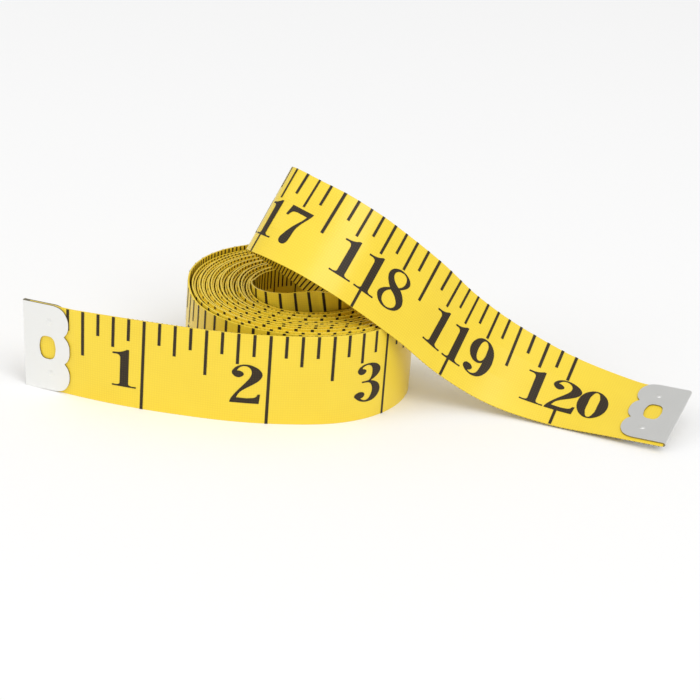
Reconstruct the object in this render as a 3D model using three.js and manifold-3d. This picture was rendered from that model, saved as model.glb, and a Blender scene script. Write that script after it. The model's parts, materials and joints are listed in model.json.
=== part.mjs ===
// A sewing tape measure: one long flat tape wound into a loose coil that stands on its edge, with
// both ends free and a folded metal tip on each end. Millimetres, +Z up, +X to the viewer's right.
import * as THREE from 'three';
import { mergeVertices } from 'three/addons/utils/BufferGeometryUtils.js';
import Module from 'manifold-3d';

// Tape
const TAPE_WIDTH = 19.05;
const TAPE_THICKNESS = 0.35;
const FLEX_GAP = 0.4; // slit between two stretches of the tape, where it bends

// Coil, wound counter-clockwise from above as the inches rise, from the outside in
const COIL_RADIUS = 23.5; // middle of the outermost loop
const COIL_LOOPS = 15.68;
const COIL_STEPS = 32; // per loop
const LOOP_GAP = 0.43; // clear space between one loop and the next
const LEAVE_ANGLE = -77; // degrees, where the start of the tape leaves the coil

// Start of the tape, walked backwards from the coil: two arcs and a straight end
const START_CURL_LENGTH = 23;
const START_CURL_RADIUS = 66;
const START_SWEEP_LENGTH = 27;
const START_SWEEP_RADIUS = 210;
const START_STRAIGHT = 11;
const START_FLEX_AT = 29; // second bending line, from the coil
const START_STEP = 2.9;

// Metal tips: a plate folded over the tape's end, with a scalloped edge and an oval hole
const TIP_LENGTH = 10.2;
const TIP_PLATE = 0.35;
const TIP_CLEARANCE = 0.15;
const SCALLOP_COUNT = 3;
const SCALLOP_DEPTH = 1.2;
const SCALLOP_INSET = 0.4;
const HOLE_FROM_END = 5.5;
const HOLE_LENGTH = 3.4;
const HOLE_WIDTH = 5.1;
const ARC_SEGMENTS = 9;
const CUT_MARGIN = 1;

// End of the tape: it climbs out of the coil's eye, bends over and comes down to the table.
// Each entry is a point of the tape's lower edge, from the coil's axis, and the way to its upper edge.
// Heights are in tape widths. The climb's plan is in radii of the eye, the fall's in radii of the coil.
const TIP_THICKNESS = TAPE_THICKNESS + 2 * (TIP_CLEARANCE + TIP_PLATE);
const REST_GAP = 0.1;
const REST_HEIGHT = TIP_THICKNESS / 2 + REST_GAP;
const END_CLIMB_SHARES = [
  [[-0.728, -0.266, 0.042], [0, 0, 1]],
  [[-0.373, -0.417, 0.084], [0, 0, 1]],
  [[0.036, -0.435, 0.147], [0, 0, 1]],
  [[0.391, -0.249, 0.283], [0, 0, 1]],
  [[0.55, 0.107, 0.451], [0, 0, 1]],
  [[0.444, 0.479, 0.63], [0, 0.02, 1]],
  [[0.142, 0.701, 0.803], [0.05, 0.07, 1]],
  [[-0.213, 0.621, 0.976], [0.16, 0.19, 0.97]],
  [[-0.506, 0.337, 1.155], [0.29, 0.36, 0.89]],
  [[-0.755, -0.062, 1.349], [0.38, 0.48, 0.79]],
  [[-0.932, -0.506, 1.522], [0.41, 0.51, 0.76]],
];
const END_FALL_SHARES = [
  [[-0.451, -0.481, 1.648], [0.41, 0.52, 0.75]],
  [[-0.264, -0.664, 1.659], [0.42, 0.53, 0.74]],
  [[-0.026, -0.783, 1.585], [0.42, 0.54, 0.73]],
  [[0.213, -0.826, 1.449], [0.42, 0.55, 0.72]],
  [[0.434, -0.804, 1.276], [0.41, 0.57, 0.71]],
  [[0.855, -0.681, 0.871], [0.39, 0.61, 0.69]],
  [[1.238, -0.553, 0.451], [0.37, 0.65, 0.66]],
  [[1.698, -0.523, 0.136], [0.34, 0.72, 0.61]],
  [[2.209, -0.63, 0.021], [0.34, 0.81, 0.48]],
  [[2.706, -0.83, REST_HEIGHT / TAPE_WIDTH], [0.34, 0.87, 0.36]],
];
const LEAD_IN_LOOPS = 1 / 12; // over which the climb takes up the coil's curve
const CURVE_STEPS = 2000;
const NEARBY = 0.05; // step along the route that gives the way of the upper edge
const END_STRAIGHT = 12.6; // from the last point to the tip's outer end
const END_FLEX_INDEX = 3; // entry of END_FALL_SHARES at the first bending line
const END_FLEX_FROM_TIP = 42; // second bending line, from the tip's outer end
const END_STEP = 2;

const TAPE_COLOR = 0xfddc4b;
const STEEL_COLOR = 0xd2d3d1;

const wasm = await Module();
wasm.setup();

const UP = new THREE.Vector3(0, 0, 1);
const FULL_TURN = 2 * Math.PI;
const LOOP_PITCH = TAPE_THICKNESS + LOOP_GAP;

function tapeMaterial() {
  return new THREE.MeshStandardMaterial({ color: TAPE_COLOR, roughness: 0.45, metalness: 0 });
}

function steelMaterial() {
  return new THREE.MeshStandardMaterial({ color: STEEL_COLOR, roughness: 0.35, metalness: 0.9 });
}

// A station of the tape: a point of the lower edge, the way along it, the straight line across to
// the upper edge, and the ways square to the tape at both edges that leave the numbered face.
function station(edge, along, lean, upperAlong = along) {
  const square = lean.clone().addScaledVector(along, -lean.dot(along));
  const rise = lean.clone().multiplyScalar(TAPE_WIDTH / square.length());
  const faces = [along, upperAlong].map((way) => new THREE.Vector3().crossVectors(way, rise).normalize());
  return { edge, along, rise, faces };
}

// A stretch of tape: a closed strip of rectangular section through its stations. Its two faces are
// split along the same diagonals, so that a twisted stretch keeps its thickness.
function stripGeometry(stations) {
  const half = TAPE_THICKNESS / 2;
  const corners = [[0, -half], [1, -half], [1, half], [0, half]];
  const position = [];
  const index = [];
  for (const { edge, rise, faces } of stations) {
    for (const [share, side] of corners) {
      const corner = edge.clone().addScaledVector(rise, share).addScaledVector(faces[share], side);
      position.push(...corner.toArray());
    }
  }
  for (let ring = 0; ring + 1 < stations.length; ring += 1) {
    for (let side = 0; side < corners.length; side += 1) {
      const next = (side + 1) % corners.length;
      const a = ring * corners.length;
      const b = a + corners.length;
      const quad = [a + side, a + next, b + next, b + side];
      const order = corners[next][0] < corners[side][0] ? [0, 1, 3, 1, 2, 3] : [0, 1, 2, 0, 2, 3];
      index.push(...order.map((k) => quad[k]));
    }
  }
  const last = (stations.length - 1) * corners.length;
  index.push(0, 3, 2, 0, 2, 1);
  index.push(last, last + 1, last + 2, last, last + 2, last + 3);
  const geometry = new THREE.BufferGeometry();
  geometry.setAttribute('position', new THREE.Float32BufferAttribute(position, 3));
  geometry.setIndex(index);
  geometry.computeVertexNormals();
  return geometry;
}

function strip(name, stations) {
  const mesh = new THREE.Mesh(stripGeometry(stations), tapeMaterial());
  mesh.name = name;
  return mesh;
}

// The coil's station after `loops` loops from its outer end.
function coilStation(loops) {
  const angle = THREE.MathUtils.degToRad(LEAVE_ANGLE) + loops * FULL_TURN;
  const radius = COIL_RADIUS - loops * LOOP_PITCH;
  const edge = new THREE.Vector3(radius * Math.cos(angle), radius * Math.sin(angle), 0);
  const along = new THREE.Vector3(-Math.sin(angle), Math.cos(angle), 0);
  return station(edge, along, UP);
}

function coilStations() {
  const count = Math.round(COIL_LOOPS * COIL_STEPS);
  return Array.from({ length: count + 1 }, (_, step) => coilStation(step / COIL_STEPS));
}

// The start's station at a distance back from the coil's outer end, where the inches fall.
function startStation(distance) {
  const bends = [
    [START_CURL_LENGTH, 1 / START_CURL_RADIUS],
    [START_SWEEP_LENGTH, 1 / START_SWEEP_RADIUS],
    [START_STRAIGHT, 0],
  ];
  const edge = coilStation(0).edge;
  let heading = THREE.MathUtils.degToRad(LEAVE_ANGLE + 90);
  let left = distance;
  for (const [length, bend] of bends) {
    const walked = Math.min(left, length);
    const middle = heading - (bend * walked) / 2;
    const chord = bend === 0 ? walked : (2 / bend) * Math.sin((bend * walked) / 2);
    edge.x -= chord * Math.cos(middle);
    edge.y -= chord * Math.sin(middle);
    heading -= bend * walked;
    left -= walked;
  }
  return station(edge, new THREE.Vector3(Math.cos(heading), Math.sin(heading), 0), UP);
}

// Evenly spaced stations between two distances, in the order in which the inches rise.
function stretch(stationAt, from, to, step) {
  const count = Math.ceil(Math.abs(to - from) / step);
  return Array.from({ length: count + 1 }, (_, k) => stationAt(from + ((to - from) * k) / count));
}

// The end's route: a smooth curve from the coil's last loop through the chosen points.
const coilEnd = Math.round(COIL_LOOPS * COIL_STEPS) / COIL_STEPS;
const eyeRadius = COIL_RADIUS - coilEnd * LOOP_PITCH;
const leadIn = [coilEnd - LEAD_IN_LOOPS, coilEnd].map((loops) => [coilStation(loops).edge, UP]);

function routePoints(entries, radius) {
  return entries.map(([[x, y, z], lean]) => [
    new THREE.Vector3(x * radius, y * radius, z * TAPE_WIDTH), new THREE.Vector3(...lean)]);
}

const climbPoints = routePoints(END_CLIMB_SHARES, eyeRadius);
const fallPoints = routePoints(END_FALL_SHARES, COIL_RADIUS);
const endRoute = [...leadIn, ...climbPoints, ...fallPoints];
const endCurve = new THREE.CatmullRomCurve3(endRoute.map(([edge]) => edge), false, 'catmullrom');
const endLean = new THREE.CatmullRomCurve3(endRoute.map(([, lean]) => lean), false, 'catmullrom');
endCurve.arcLengthDivisions = CURVE_STEPS;
const curveLength = endCurve.getLength();
const endLength = curveLength + END_STRAIGHT;

// The end at a distance along its route, which runs on straight after its last point.
function endPlace(distance) {
  const t = endCurve.getUtoTmapping(Math.min(1, distance / curveLength));
  const along = endCurve.getTangent(t);
  const edge = endCurve.getPoint(t).addScaledVector(along, Math.max(0, distance - curveLength));
  return [edge, along, endLean.getPoint(t)];
}

function endStation(distance) {
  const [before, after] = [-NEARBY, NEARBY].map((step) => {
    const { edge, rise } = station(...endPlace(distance + step));
    return edge.add(rise);
  });
  return station(...endPlace(distance), after.sub(before).normalize());
}

// Distance along the route of one of its points.
function routeDistance(entry) {
  const share = (entry / (endRoute.length - 1)) * endCurve.arcLengthDivisions;
  return endCurve.getLengths()[Math.round(share)];
}

function solidFrom(geometry) {
  const bare = geometry.clone();
  bare.deleteAttribute('normal');
  bare.deleteAttribute('uv');
  const merged = mergeVertices(bare);
  const vertProperties = new Float32Array(merged.attributes.position.array);
  const triVerts = new Uint32Array(merged.index.array);
  return new wasm.Manifold(new wasm.Mesh({ numProp: 3, vertProperties, triVerts }));
}

function geometryFrom(solid) {
  const { vertProperties, triVerts } = solid.getMesh();
  const geometry = new THREE.BufferGeometry();
  geometry.setAttribute('position', new THREE.Float32BufferAttribute(vertProperties, 3));
  geometry.setIndex(Array.from(triVerts));
  geometry.computeVertexNormals();
  return geometry;
}

// The plate's outline: x runs inwards from the tape's end, y across the tape from its lower edge.
function tipOutline() {
  const pitch = TAPE_WIDTH / SCALLOP_COUNT - SCALLOP_INSET;
  const radius = (pitch * pitch / 4 + SCALLOP_DEPTH * SCALLOP_DEPTH) / (2 * SCALLOP_DEPTH);
  const centre = TIP_LENGTH - radius;
  const cusp = Math.asin(pitch / 2 / radius);
  const outer = TAPE_WIDTH / 2 - ((SCALLOP_COUNT - 1) * pitch) / 2;
  const corner = Math.asin(Math.min(1, outer / radius));
  const shape = new THREE.Shape();
  shape.moveTo(0, 0);
  shape.lineTo(centre + radius * Math.cos(corner), 0);
  for (let scallop = 0; scallop < SCALLOP_COUNT; scallop += 1) {
    const from = scallop === 0 ? -corner : -cusp;
    const to = scallop === SCALLOP_COUNT - 1 ? corner : cusp;
    shape.absarc(centre, outer + scallop * pitch, radius, from, to, false);
  }
  shape.lineTo(centre + radius * Math.cos(corner), TAPE_WIDTH);
  shape.lineTo(0, TAPE_WIDTH);
  const hole = new THREE.Path();
  hole.absellipse(HOLE_FROM_END, TAPE_WIDTH / 2, HOLE_LENGTH / 2, HOLE_WIDTH / 2, 0, FULL_TURN, true, 0);
  shape.holes.push(hole);
  return shape;
}

// The folded plate: the outline at full thickness, less the slot that takes the tape.
function tipGeometry() {
  const options = { depth: TIP_THICKNESS, bevelEnabled: false, curveSegments: ARC_SEGMENTS };
  const block = new THREE.ExtrudeGeometry(tipOutline(), options);
  block.translate(0, 0, -TIP_THICKNESS / 2);
  const depth = TIP_LENGTH - TIP_PLATE + CUT_MARGIN;
  const width = TAPE_WIDTH + 2 * CUT_MARGIN;
  const slot = new THREE.BoxGeometry(depth, width, TAPE_THICKNESS + 2 * TIP_CLEARANCE);
  slot.translate(TIP_PLATE + depth / 2, TAPE_WIDTH / 2, 0);
  return geometryFrom(solidFrom(block).subtract(solidFrom(slot)));
}

// A tip on the tape's end: `inwards` leads from its outer end along the tape.
function tip(name, { edge, rise }, inwards) {
  const mesh = new THREE.Mesh(tipGeometry(), steelMaterial());
  const across = new THREE.Vector3().crossVectors(inwards, rise).normalize();
  const up = new THREE.Vector3().crossVectors(across, inwards);
  mesh.name = name;
  mesh.setRotationFromMatrix(new THREE.Matrix4().makeBasis(inwards, up, across));
  mesh.position.copy(edge);
  return mesh;
}

// Least clear distance between the coil and itself, over points one loop apart, and between the
// climbing end and the coil.
function leastGap(coil, climb) {
  const between = coil.slice(COIL_STEPS).map(({ edge }, k) => edge.distanceTo(coil[k].edge));
  const clear = climb.filter(({ edge }) => edge.z < TAPE_WIDTH);
  const beside = clear.flatMap(({ edge }) => coil.slice(0, -COIL_STEPS / 2)
    .map((turn) => Math.hypot(edge.x - turn.edge.x, edge.y - turn.edge.y)));
  return Math.min(...between, ...beside) - TAPE_THICKNESS;
}

const gap = FLEX_GAP / 2;
const startLength = START_CURL_LENGTH + START_SWEEP_LENGTH + START_STRAIGHT;
const tapeInset = TIP_PLATE + TIP_CLEARANCE;
const endFirst = routeDistance(leadIn.length - 1);
const endFlex = routeDistance(leadIn.length + END_CLIMB_SHARES.length + END_FLEX_INDEX);
const endSecond = endLength - END_FLEX_FROM_TIP;

const coil = coilStations();
const climb = stretch(endStation, endFirst + FLEX_GAP, endFlex - gap, END_STEP);
const startTip = startStation(startLength);
const endTip = endStation(endLength);

const part = new THREE.Group();
part.add(strip('tape_coil', coil));
part.add(strip('tape_start_inner', stretch(startStation, START_FLEX_AT - gap, FLEX_GAP, START_STEP)));
part.add(strip('tape_start_outer',
  stretch(startStation, startLength - tapeInset, START_FLEX_AT + gap, START_STEP)));
part.add(tip('start_tip', startTip, startTip.along));
part.add(strip('tape_end_loop', climb));
part.add(strip('tape_end_inner', stretch(endStation, endFlex + gap, endSecond - gap, END_STEP)));
part.add(strip('tape_end_outer', stretch(endStation, endSecond + gap, endLength - tapeInset, END_STEP)));
part.add(tip('end_tip', endTip, endTip.along.clone().negate()));

// The origin is the middle of the part's footprint, on the table.
const box = new THREE.Box3().setFromObject(part);
const footprint = box.getCenter(new THREE.Vector3()).setZ(box.min.z);
for (const mesh of part.children) mesh.position.sub(footprint);

console.log('least gap of the coil to itself, mm:', leastGap(coil, climb).toFixed(3));

export default part;
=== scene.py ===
"""A cloth tape measure, part wound: the tape, its printed scales, its metal tips and a studio stage.

Everything is made in the part's own frame, in metres with +Z up and the part standing on z = 0.
"""

import json
import math

import bmesh
import bpy
import numpy as np
from mathutils import Matrix, Vector

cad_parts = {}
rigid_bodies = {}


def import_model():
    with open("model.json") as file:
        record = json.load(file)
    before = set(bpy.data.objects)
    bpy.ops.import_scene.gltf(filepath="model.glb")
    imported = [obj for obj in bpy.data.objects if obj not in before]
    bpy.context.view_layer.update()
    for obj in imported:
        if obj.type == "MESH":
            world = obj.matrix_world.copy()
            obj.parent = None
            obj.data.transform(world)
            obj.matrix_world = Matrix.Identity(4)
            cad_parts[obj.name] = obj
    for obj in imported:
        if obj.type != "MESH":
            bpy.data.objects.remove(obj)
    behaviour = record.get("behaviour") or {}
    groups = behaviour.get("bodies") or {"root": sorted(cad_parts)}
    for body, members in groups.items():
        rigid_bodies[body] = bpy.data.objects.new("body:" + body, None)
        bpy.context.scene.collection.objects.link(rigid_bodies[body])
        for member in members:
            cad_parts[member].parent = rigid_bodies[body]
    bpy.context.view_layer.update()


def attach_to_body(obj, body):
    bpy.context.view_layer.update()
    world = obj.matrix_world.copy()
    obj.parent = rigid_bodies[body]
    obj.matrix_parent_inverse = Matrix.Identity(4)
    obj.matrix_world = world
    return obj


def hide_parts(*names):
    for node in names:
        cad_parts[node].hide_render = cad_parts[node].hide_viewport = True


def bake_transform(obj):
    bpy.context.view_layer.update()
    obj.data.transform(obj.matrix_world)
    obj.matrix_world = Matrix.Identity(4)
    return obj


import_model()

bl_info = {
    "name": "Cloth Tape Measure",
    "version": (1, 0, 0),
    "blender": (4, 5, 0),
    "location": "View3D > Sidebar > Tape",
    "description": "Builds a part-wound cloth tape measure and its studio stage",
    "category": "Object",
}

MM = 0.001
INCH = 0.0254

# Where the coil stands, and how the tape leaves it
COIL_AXIS = np.array([-13.4616, 0.7324, 0.0]) * MM
LEAVE_ANGLE = math.radians(-77)
LEAD_IN_LOOPS = 1 / 30
UP = np.array([0.0, 0.0, 1.0])

# The start's bends, walking back from the coil: length and radius, both in mm
START_BENDS = ((23, 66), (27, 210))
# Towards its tip the start stands a little further back and leans
START_BACK = np.array([0.56, 2.2, 0.03]) * MM
START_LEAN = np.array([-0.04, -0.055, 0.0])
START_LEAN_REACH = 30 * MM
# The tape lies flat this far into a tip
TIP_HOLD = 11 * MM

# The end's lower edge climbing out of the eye: place in shares of the eye's radius and the width, and lean
END_CLIMB = (
    ((-0.898, -0.12, 0.071), (0, 0, 1)),
    ((-0.803, -0.395, 0.096), (0, 0, 1)),
    ((-0.639, -0.617, 0.12), (0, 0, 1)),
    ((-0.4, -0.761, 0.144), (0, 0, 1)),
    ((-0.115, -0.803, 0.169), (0, 0, 1)),
    ((0.164, -0.755, 0.195), (0, 0, 1)),
    ((0.435, -0.661, 0.225), (0.01, -0.01, 1)),
    ((0.648, -0.497, 0.26), (0.03, -0.03, 1)),
    ((0.774, -0.255, 0.312), (0.06, -0.02, 1)),
    ((0.795, 0.018, 0.383), (0.08, 0, 1)),
    ((0.719, 0.289, 0.483), (0.08, 0.03, 1)),
    ((0.539, 0.518, 0.604), (0.06, 0.05, 1)),
    ((0.275, 0.644, 0.735), (0.05, 0.07, 1)),
    ((-0.027, 0.666, 0.877), (0.09, 0.11, 0.99)),
    ((-0.266, 0.568, 1.003), (0.16, 0.2, 0.965)),
    ((-0.48, 0.377, 1.13), (0.25, 0.31, 0.92)),
    ((-0.675, 0.133, 1.27), (0.33, 0.4, 0.86)),
    ((-0.835, -0.115, 1.39), (0.385, 0.46, 0.8)),
    ((-1.025, -0.515, 1.55), (0.41, 0.46, 0.79)),
)
# The end's lower edge falling to the table: place in shares of the coil's radius and the width, and lean
END_FALL = (
    ((-0.433, -0.481, 1.643), (0.39, 0.46, 0.805)),
    ((-0.264, -0.664, 1.655), (0.415, 0.53, 0.74)),
    ((-0.026, -0.783, 1.585), (0.435, 0.54, 0.73)),
    ((0.213, -0.826, 1.449), (0.445, 0.55, 0.72)),
    ((0.434, -0.804, 1.276), (0.437, 0.57, 0.71)),
    ((0.855, -0.681, 0.871), (0.417, 0.61, 0.69)),
    ((1.238, -0.553, 0.451), (0.397, 0.65, 0.66)),
    ((1.698, -0.523, 0.136), (0.34, 0.72, 0.61)),
    ((2.216, -0.655, 0.031), (0.301, 0.848, 0.432)),
    ((2.711, -0.843, 0.057), (0.345, 0.895, 0.258)),
    ((2.99, -0.953, 0.075), (0.36, 0.902, 0.245)),
)
END_STRAIGHT = 4.67 * MM

# Where the climb's lean stops being square to its edge, walking from the coil's inner end
SQUARE_UNTIL = (46 * MM, 64 * MM)

# Steps along the tape, fine on the free ends and coarser where it is wound
FREE_STEP = 0.25 * MM
COIL_STEP = 1.0 * MM
CURVE_STEPS = 6000
# How often the coil's bow is worked out afresh, and a line's place on slanted rulings
BOW_ROUNDS = 3
SHEAR_ROUNDS = 2
# How often each side of the tape's section is cut, and past which angle an edge of it is sharp
SECTION_CUTS = 2
SHARP_EDGE = math.radians(30)

# The turns lie in close pairs, and every second pair stands higher; they change over behind the tail
CHANGE_LOOPS = 0.325
CHANGE_SHARPNESS = 3.0
# How quickly the turns come loose to the left, towards the innermost
LOOSE_POWER = 1.5
# Where the climbing end pushes the turns outwards, and how narrow that stretch is
GIVE_ANGLE = math.radians(-14)
GIVE_POWER = 5
# Where things happen in the coil, in loops from its outer end
FIRST_GAP_OPENS = (0.1, 0.9)
SWELL_UNTIL = 0.7
SWELL_FADE = 1.2
PAIRS_BEGIN = (1.0, 2.0)
OUTER_RISE_GROWS = (0.2, 0.62)
# The outer turn's rise is gone after this many loops, and shrinks over the last of them
OUTER_RISE_LOOPS = 0.8
OUTER_RISE_ENDS = (0.0, 0.12)
# The pairs fade over the last loops, counted back from the coil's inner end
PAIRS_END = (0.0, 1.5)
# From here on the innermost turn holds its height; its end is at 0
HEIGHT_HELD = (-0.25, -0.12)
# The higher pairs' height: its mean, its change by turn, how quick that is, and its change round a turn
UNEVEN_HEIGHTS = (0.7, 0.2, 1.9, 0.1)
# The turns rise towards the back: how far past +Y its middle lies, and between which sines they rise
BACK_ANGLE = math.radians(20)
BACK_RISE_GROWS = (-0.3, 0.9)

# How far inside the tips' outer ends the tape begins and ends
START_SINK = 1.35 * MM
END_SINK = 0.2 * MM
# The tape's pieces: name, end in mm along the tape, bodies, where it bends in mm, and the nodes it stands for
PIECES = (
    ("start_tail", 46.5, ("start_outer", "start_inner"), (24, 40), ("tape_start_outer",)),
    ("start_bend", 68, ("start_inner", "roll"), (51, 66), ("tape_start_inner",)),
    ("roll", 2980, ("roll",), None, ("tape_coil", "tape_end_loop")),
    ("end_bend", 3011, ("roll", "end_inner"), (2983, 2999), ("tape_end_inner",)),
    ("end_tail", None, ("end_inner", "end_outer"), (3023, 3039), ("tape_end_outer",)),
)

# Figures drawn 8.2 mm high: smooth points are pairs, corners have a third value
FIGURE_HEIGHT = 8.2
FIGURES = {
    0: (
        (
            (3.1, 8.2), (1.55, 7.6), (0.4, 6.1), (0, 4.1), (0.4, 2.1), (1.55, 0.6),
            (3.1, 0), (4.65, 0.6), (5.8, 2.1), (6.2, 4.1), (5.8, 6.1), (4.65, 7.6),
        ),
        (
            (3.1, 7.85), (2.4, 7.1), (2.1, 4.1), (2.4, 1.1),
            (3.1, 0.35), (3.8, 1.1), (4.1, 4.1), (3.8, 7.1),
        ),
    ),
    1: (
        (
            (3.45, 8.15, 1), (3.45, 0.7, 1), (3.75, 0.4), (5.1, 0.33, 1), (5.1, 0, 1), (0.05, 0, 1),
            (0.05, 0.35, 1), (1.35, 0.4), (1.65, 0.7, 1), (1.65, 6.35, 1), (1.35, 6.85), (0, 6.97, 1),
            (0, 7.33, 1), (1.2, 7.42), (2.3, 7.76), (3.0, 8.15, 1),
        ),
    ),
    2: (
        (
            (0.2, 6.55), (0.55, 7.3), (1.45, 8.0), (2.95, 8.35), (4.65, 8.0), (5.85, 7.2), (6.3, 6.3),
            (5.9, 5.3), (4.85, 4.35), (3.55, 3.5), (2.35, 2.65), (1.7, 1.95), (1.3, 1.12, 1), (4.55, 1.2),
            (5.25, 1.5), (5.55, 2.05, 1), (6.05, 2.05, 1), (5.85, 0, 1), (0, 0, 1), (0.1, 0.5), (0.75, 1.65),
            (2.05, 3.3), (3.25, 4.75), (3.95, 5.8), (4.15, 6.7), (3.75, 7.6), (2.85, 8.0), (1.85, 7.75),
            (1.15, 6.98, 1), (2.0, 6.85), (2.6, 6.25), (2.15, 5.7), (1.4, 5.5), (0.6, 5.85),
        ),
    ),
    3: (
        (
            (0.45, 6.9), (0.55, 7.35), (1.2, 8.0), (2.7, 8.4), (4.5, 8.2), (5.7, 7.5), (6.2, 6.6),
            (5.75, 5.65), (4.7, 4.95), (3.75, 4.55, 1), (4.85, 4.15), (5.95, 3.35), (6.4, 2.2), (6.05, 1.15),
            (5.05, 0.3), (3.4, -0.05), (1.65, 0.25), (0.5, 0.95), (0, 1.6), (0.6, 2.2), (1.45, 2.35),
            (2.25, 2.05), (2.45, 1.6), (2.1, 1.1), (1.5, 0.92, 1), (2.3, 0.42), (3.2, 0.45), (3.95, 1.2),
            (4.3, 2.3), (4.05, 3.4), (3.5, 4.05), (2.75, 4.25), (1.6, 4.28, 1), (1.6, 4.62, 1), (2.75, 4.62),
            (3.35, 4.75), (3.85, 5.4), (4.05, 6.4), (3.8, 7.5), (3.15, 8.0), (2.4, 8.02), (1.6, 7.65),
            (1.5, 7.4, 1), (2.05, 7.25), (2.5, 6.85), (2.2, 6.35), (1.55, 6.12), (0.85, 6.3),
        ),
    ),
    4: (
        (
            (4.35, 8.25, 1), (5.2, 8.25, 1), (5.2, 2.65, 1), (6.2, 2.65, 1), (6.2, 2.05, 1), (5.2, 2.05, 1),
            (5.2, 0.7, 1), (5.45, 0.4), (6.1, 0.35, 1), (6.1, 0, 1), (2.6, 0, 1), (2.6, 0.35, 1),
            (3.25, 0.4), (3.5, 0.7, 1), (3.5, 2.05, 1), (0, 2.05, 1), (0, 2.5, 1),
        ),
        ((3.5, 6.3, 1), (0.95, 2.65, 1), (3.5, 2.65, 1)),
    ),
    5: (
        (
            (0.8, 8.2, 1), (3.0, 7.95), (5.3, 8.25, 1), (5.0, 7.1), (3.7, 6.6), (1.25, 6.85, 1),
            (1.1, 4.9, 1), (1.9, 5.35), (3.3, 5.5), (5.1, 4.8), (6.0, 2.9), (5.4, 1.1), (4.0, 0.15),
            (2.3, 0), (0.7, 0.5), (0, 1.6), (0.5, 2.35), (1.3, 2.5), (2.1, 2.15), (2.3, 1.6), (2.0, 1.05),
            (1.5, 0.75, 1), (2.1, 0.4), (3.0, 0.6), (3.7, 1.5), (3.9, 2.9), (3.6, 4.3), (2.8, 4.95),
            (1.8, 4.75), (1.0, 4.0, 1), (0.6, 4.0, 1),
        ),
    ),
    7: (
        (
            (0.4, 8.2, 1), (5.9, 8.1, 1), (5.75, 7.6), (5.1, 6.4), (4.3, 5.0), (3.85, 3.7), (3.75, 1.9),
            (3.65, 0.85), (3.2, 0.15), (2.5, 0), (1.85, 0.3), (1.6, 0.95), (1.85, 1.9), (2.3, 3.0),
            (2.9, 4.1), (3.8, 5.35), (4.5, 6.4), (4.75, 7.05, 1), (3.3, 7.1), (1.5, 7.05), (1.0, 6.75),
            (0.55, 5.9, 1), (0, 5.95, 1),
        ),
    ),
    8: (
        (
            (3.05, 8.4), (4.65, 8.1), (5.8, 7.3), (6.0, 6.6), (5.5, 5.7), (4.5, 4.85, 1), (5.45, 4.15),
            (6.25, 3.05), (6.4, 2.15), (5.85, 1.0), (4.75, 0.3), (3.15, 0), (1.45, 0.35), (0.35, 1.25),
            (0, 2.05), (0.45, 2.95), (1.45, 3.75), (2.1, 4.1, 1), (1.25, 4.85), (0.6, 5.75), (0.4, 6.6),
            (0.75, 7.5), (1.85, 8.2),
        ),
        (
            (3.25, 8.05), (2.15, 7.7), (1.7, 7.0), (2.05, 6.1), (2.95, 5.4), (3.95, 5.0, 1),
            (4.65, 5.65), (4.95, 6.5), (4.7, 7.5), (4.1, 7.95),
        ),
        (
            (2.45, 3.8, 1), (1.6, 2.95), (1.35, 1.95), (1.7, 1.0), (2.75, 0.4), (3.75, 0.4),
            (4.75, 0.9), (5.05, 1.75), (4.55, 2.6), (3.55, 3.35),
        ),
    ),
    9: (
        (
            (2.95, 8.35), (4.45, 7.95), (5.65, 6.7), (6.1, 5.05), (6.05, 3.3), (5.45, 1.65), (4.4, 0.45),
            (3.1, -0.05), (1.85, 0), (0.65, 0.45), (0.1, 1.1), (0.4, 1.75), (1.25, 1.95), (2.05, 1.7),
            (2.35, 1.25), (2.05, 0.75), (1.5, 0.5, 1), (2.1, 0.28), (2.95, 0.45), (3.55, 1.0), (3.85, 1.95),
            (4.0, 3.5, 1), (3.45, 3.1), (2.55, 2.9), (1.5, 3.15), (0.45, 4.1), (0, 5.6), (0.45, 7.0),
            (1.55, 8.05),
        ),
        (
            (3.05, 8.0), (2.35, 7.55), (2.0, 6.3), (2.0, 5.05), (2.35, 3.9), (2.95, 3.5), (3.65, 3.8),
            (4.05, 4.65), (4.1, 6.1), (3.85, 7.45),
        ),
    ),
}
# How finely a scale's figures are drawn: steps per curve, then slices along and up in shares of the height
FIGURE_FORMS = {"Inch": (3, (0.12, 0.25)), "Metric": (1, (0.3, 0.5))}
# Points of an outline nearer than this share of its unit are one
MERGE_SHARE = 1e-4

# The scales: lines to an inch, the last numbers, and from which number an inch line is broken by its figures
EIGHTHS = 8
LAST_INCH = 120
LAST_CENTIMETRE = 305
BROKEN_FROM = 100
# The numbers after this one are printed a little lower
LAST_HIGH_NUMBER = 2
# A line this near to a piece's end, in shares of the spacing, counts as on it
COUNT_SLACK = 1e-6
# A line's points from end to end, so that it follows the twisted tape
LINE_POINTS = 4
# What the scales' trees are told of their lines
LINE_SIZES = ("Spacing", "Line Width", "Long", "Middle", "Short", "Least", "Foot")
LINE_COUNTS = ("First", "Count", "Long Every", "Middle Every", "Short Every", "Broken From")

# The real weave has about three threads to the millimetre; drawn at two, it shows in the picture
THREAD_PERIOD = 0.5 * MM
# A wave texture repeats after this length at a scale of 1
WAVE_REPEAT = math.pi / 10
BUMP_DEPTH = 0.02 * MM
# Patches of tone in the coat and of gloss on the steel
TONE_PATCH = 11.11 * MM
GLOSS_PATCH = 2.857 * MM
# The steel's rolling marks: real ones are a few hundredths of a millimetre wide, too fine to show
MARK_LENGTH = 2.5 * MM
MARK_WIDTH = 0.1667 * MM

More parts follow.
